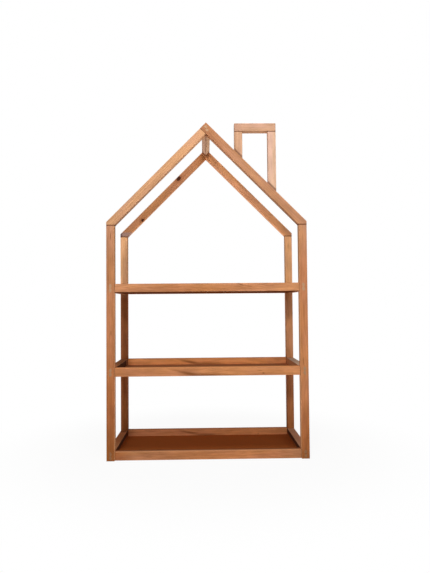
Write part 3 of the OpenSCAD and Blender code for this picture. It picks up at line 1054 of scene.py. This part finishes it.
# %% Smears at the points of the gables
low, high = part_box("ridge_beam")
point_z = (low.z + high.z) / 2
FRONT_POINTS = [(-1.5 * MM, cad_low.y, point_z), (2.9 * MM, cad_low.y, point_z - 10 * MM)]
BACK_POINTS = [(1 * MM, cad_high.y, point_z)]
FRONT_HIGH, FRONT_WIDE = 4 * MM, 4.6 * MM
BACK_HIGH, BACK_WIDE = 5.5 * MM, 4.5 * MM
smears("front_point_smear", FRONT_POINTS, FORWARD, FRONT_HIGH, FRONT_WIDE)
smears("back_point_smear", BACK_POINTS, BACKWARD, BACK_HIGH, BACK_WIDE)

# %% [markdown]
# ## The floor
#
# The photograph stands on pure white. Strong lamps on a white floor could give that, but they would bleach
# the wood. So the floor only looks white: for rays that show it, from the camera, off a glossy surface or
# through a clear one, most of it is a white glow. Near the case a small share stays a plain diffuse grey,
# and that share keeps the case's soft shadow.


# %% Rays that show the background
def background_rays(f):
    """1 for a ray from the camera, off a glossy surface or through a clear one, and 0 for any other."""
    camera_ray = f.node("ShaderNodeLightPath")
    glossy_ray, clear_ray = camera_ray.out("Is Glossy Ray"), camera_ray.out("Is Transmission Ray")
    return camera_ray.maths("MAXIMUM", glossy_ray).maths("MAXIMUM", clear_ray)


print("background_rays() tells looking from lighting")

# %% Floor
WHITE = (1.0, 1.0, 1.0, 1.0)
FLOOR_GREY = (0.8, 0.8, 0.8, 1.0)
FLOOR_HALF = 30.0
SHADOW_NEAR, SHADOW_FAR, GLOW_NEAR = 0.32, 0.8, 0.94


def pale_floor():
    """Grey mixed with white glow. The glow's share of what is seen runs from 0.94 within 0.32 m of the
    middle to 1 at 0.8 m."""
    f = Finish(bpy.data.materials.new("pale_floor"))
    world = f.node("ShaderNodeTexCoord").out("Object")
    away = f.vector("LENGTH", f.vector("MULTIPLY", world, (1.0, 1.0, 0.0))).out("Value")
    plain = f.node("ShaderNodeBsdfDiffuse", None, {"Color": FLOOR_GREY})
    glow = f.node("ShaderNodeEmission", None, {"Color": WHITE, "Strength": 1.0})
    share = background_rays(f) * f.step(away, SHADOW_NEAR, SHADOW_FAR, GLOW_NEAR, 1.0)
    return f.surface(f.node("ShaderNodeMixShader", None, [share, plain, glow]))


corners = [(-FLOOR_HALF, -FLOOR_HALF, 0), (FLOOR_HALF, -FLOOR_HALF, 0), (FLOOR_HALF, FLOOR_HALF, 0),
           (-FLOOR_HALF, FLOOR_HALF, 0)]
floor_mesh = bpy.data.meshes.new("floor")
floor_mesh.from_pydata(corners, [], [(0, 1, 2, 3)])
floor_mesh.materials.append(pale_floor())
floor = bpy.data.objects.new("floor", floor_mesh)
bpy.context.scene.collection.objects.link(floor)
floor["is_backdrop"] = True
print("floor", 2 * FLOOR_HALF, "m square")

# %% [markdown]
# ## World and lamps
#
# The world looks white behind the case in the same way, and lights it at a low level from all round. The
# main light comes from above in front: the top of the case is bright, and the back posts under the shelves
# lie in their shade. Two more lamps stand in front, two at the sides and, out of the camera's sight, one
# on the floor behind, for the light that a pale floor throws up. Points of light would be simpler, but a
# lamp with a surface, a soft box, casts no hard shadows on so thin a frame.

# %% World
WORLD_LEVEL = 0.115
studio = Finish(bpy.data.worlds.new("studio"))
levels = {"Value": background_rays(studio), "To Min": WORLD_LEVEL, "To Max": 1.0}
strength = studio.node("ShaderNodeMapRange", None, levels)
sky = studio.node("ShaderNodeBackground", None, {"Color": WHITE, "Strength": strength})
bpy.context.scene.world = studio.surface(sky, "ShaderNodeOutputWorld")
print("the world lights the case at", WORLD_LEVEL)

# %% Lamps
SHELF_HEIGHT = (0.0, 0.0, 0.6)
ROOF_HEIGHT = (0.0, 0.0, 0.8)
SOFT_BOXES = {
    "high_key": ((0.1, -0.9, 2.0), ROOF_HEIGHT, 0.5, 0.5, 10.9),
    "left_front": ((-0.35, -2.3, 1.2), SHELF_HEIGHT, 0.25, 0.25, 16.1),
    "right_front": ((0.6, -2.4, 1.2), SHELF_HEIGHT, 0.4, 0.4, 8.0),
    "right_side": ((2.2, -1.2, 1.2), SHELF_HEIGHT, 1.0, 1.4, 3.5),
    "left_side": ((-2.2, -1.2, 1.2), SHELF_HEIGHT, 1.0, 1.4, 2.3),
    "floor_bounce": ((0.0, 0.95, 0.02), (0.0, 0.95, 1.0), 1.4, 1.0, 26.0),
}


def soft_box(name, place, aim, width, height, watts):
    """An area lamp at place that looks at aim."""
    data = bpy.data.lights.new(name, "AREA")
    data.shape = "RECTANGLE"
    data.size, data.size_y = width, height
    data.energy = watts
    lamp = bpy.data.objects.new(name, data)
    bpy.context.scene.collection.objects.link(lamp)
    lamp.location = place
    lamp.rotation_euler = (Vector(aim) - Vector(place)).to_track_quat("-Z", "Y").to_euler()
    return lamp


lamps = {name: soft_box(name, *row) for name, row in SOFT_BOXES.items()}
lamps["floor_bounce"].visible_camera = False
print("lit by", len(lamps), "soft boxes")

# %% [markdown]
# ## Sizes and the end
#
# The last cell prints the size of the dressed case, beside the size of its solids printed at the start.
# The dressed case has to keep the size of its solids.

# %% Sizes
bpy.context.scene.view_settings.view_transform = "Standard"
low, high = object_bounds()
print("visual size", [round(v, 4) for v in high - low], "m")
